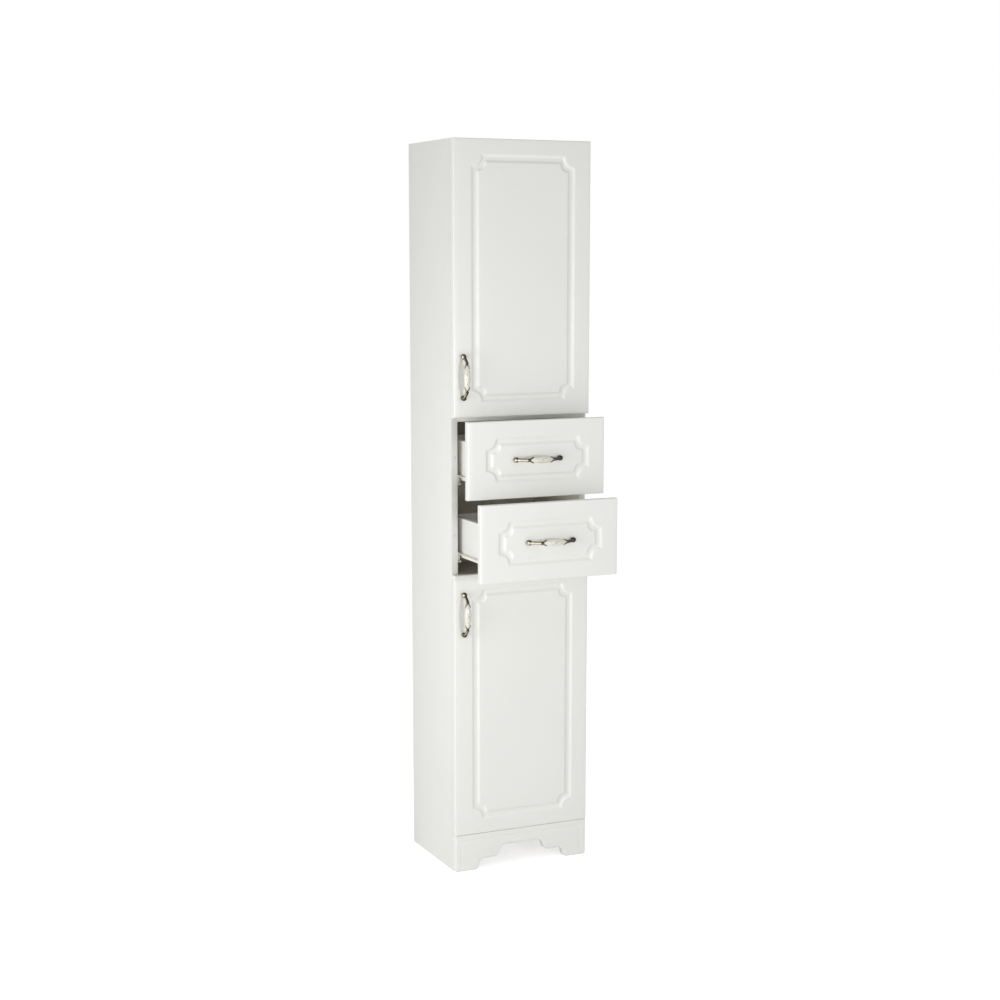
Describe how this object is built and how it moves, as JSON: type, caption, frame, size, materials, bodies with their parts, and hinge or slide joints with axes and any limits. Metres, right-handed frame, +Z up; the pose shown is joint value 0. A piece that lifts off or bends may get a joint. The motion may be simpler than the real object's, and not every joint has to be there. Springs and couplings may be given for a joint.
{
  "type": "tall bathroom cabinet",
  "caption": "Narrow tall white bathroom cabinet with panelled doors above and below a pair of open drawers, bow handles with ceramic grips and a shaped plinth.",
  "frame": {"origin": "on the floor, at the middle of the width, in the plane of the carcass boards' rear edges", "axes": "+Z up, -Y out of the fronts towards the user, +Y towards the wall, +X to the right as the user faces the cabinet"},
  "size_m": [0.35, 0.4558, 1.728],
  "materials": {
    "film_fronts": "satin white film over fibreboard",
    "melamine_board": "satin white melamine over chipboard",
    "hardboard": "matt white lacquered hardboard",
    "antique_brass": "antique brass, dark in the hollows",
    "ceramic_grip": "cream glaze with small grey-green sprigs",
    "nickel_steel": "nickel plated steel",
    "zinc_steel": "zinc plated steel",
    "runner_paint": "cream white powder coat on sheet steel",
    "roller_plastic": "white nylon",
    "clear_plastic": "translucent moulded plastic"
  },
  "bodies": {
    "cabinet": {"back_panel": "hardboard", "bottom_panel": "melamine_board", "bumper_pads": "clear_plastic", "channel_rollers": "roller_plastic", "front_plinth": "film_fronts", "hinge_arms": "nickel_steel", "hinge_plate_screws": "zinc_steel", "hinge_plates": "nickel_steel", "lower_divider": "melamine_board", "plinth_blocks": "melamine_board", "rear_rail": "melamine_board", "runner_channels": "runner_paint", "shelf_lower": "melamine_board", "shelf_supports": "clear_plastic", "shelf_upper_high": "melamine_board", "shelf_upper_low": "melamine_board", "side_panel_left": "melamine_board", "side_panel_right": "melamine_board", "top_panel": "melamine_board", "upper_divider": "melamine_board", "wall_brackets": "zinc_steel"},
    "upper_door": {"upper_door": "film_fronts", "upper_door_handle_ends": "antique_brass", "upper_door_handle_grip": "ceramic_grip", "upper_door_handle_screws": "zinc_steel", "upper_door_hinge_cups": "nickel_steel", "upper_door_hinge_links": "nickel_steel"},
    "lower_door": {"lower_door": "film_fronts", "lower_door_handle_ends": "antique_brass", "lower_door_handle_grip": "ceramic_grip", "lower_door_handle_screws": "zinc_steel", "lower_door_hinge_cups": "nickel_steel", "lower_door_hinge_links": "nickel_steel"},
    "upper_drawer": {"upper_drawer_back": "melamine_board", "upper_drawer_bottom": "hardboard", "upper_drawer_front": "film_fronts", "upper_drawer_handle_ends": "antique_brass", "upper_drawer_handle_grip": "ceramic_grip", "upper_drawer_handle_screws": "zinc_steel", "upper_drawer_rails": "runner_paint", "upper_drawer_rollers": "roller_plastic", "upper_drawer_side_left": "melamine_board", "upper_drawer_side_right": "melamine_board"},
    "lower_drawer": {"lower_drawer_back": "melamine_board", "lower_drawer_bottom": "hardboard", "lower_drawer_front": "film_fronts", "lower_drawer_handle_ends": "antique_brass", "lower_drawer_handle_grip": "ceramic_grip", "lower_drawer_handle_screws": "zinc_steel", "lower_drawer_rails": "runner_paint", "lower_drawer_rollers": "roller_plastic", "lower_drawer_side_left": "melamine_board", "lower_drawer_side_right": "melamine_board"}
  },
  "joints": [
    {"name": "upper_door_hinge", "type": "hinge", "parent": "cabinet", "child": "upper_door", "pos_m": [0.1716, -0.2612, 1.411], "axis": [0, 0, 1], "range_deg": [0, 95]},
    {"name": "lower_door_hinge", "type": "hinge", "parent": "cabinet", "child": "lower_door", "pos_m": [0.1716, -0.2612, 0.408], "axis": [0, 0, 1], "range_deg": [0, 95]},
    {"name": "upper_drawer_slide", "type": "slide", "parent": "cabinet", "child": "upper_drawer", "axis": [0, -1, 0], "range_m": [-0.08, 0.1]},
    {"name": "lower_drawer_slide", "type": "slide", "parent": "cabinet", "child": "lower_drawer", "axis": [0, -1, 0], "range_m": [-0.15, 0.03]}
  ]
}
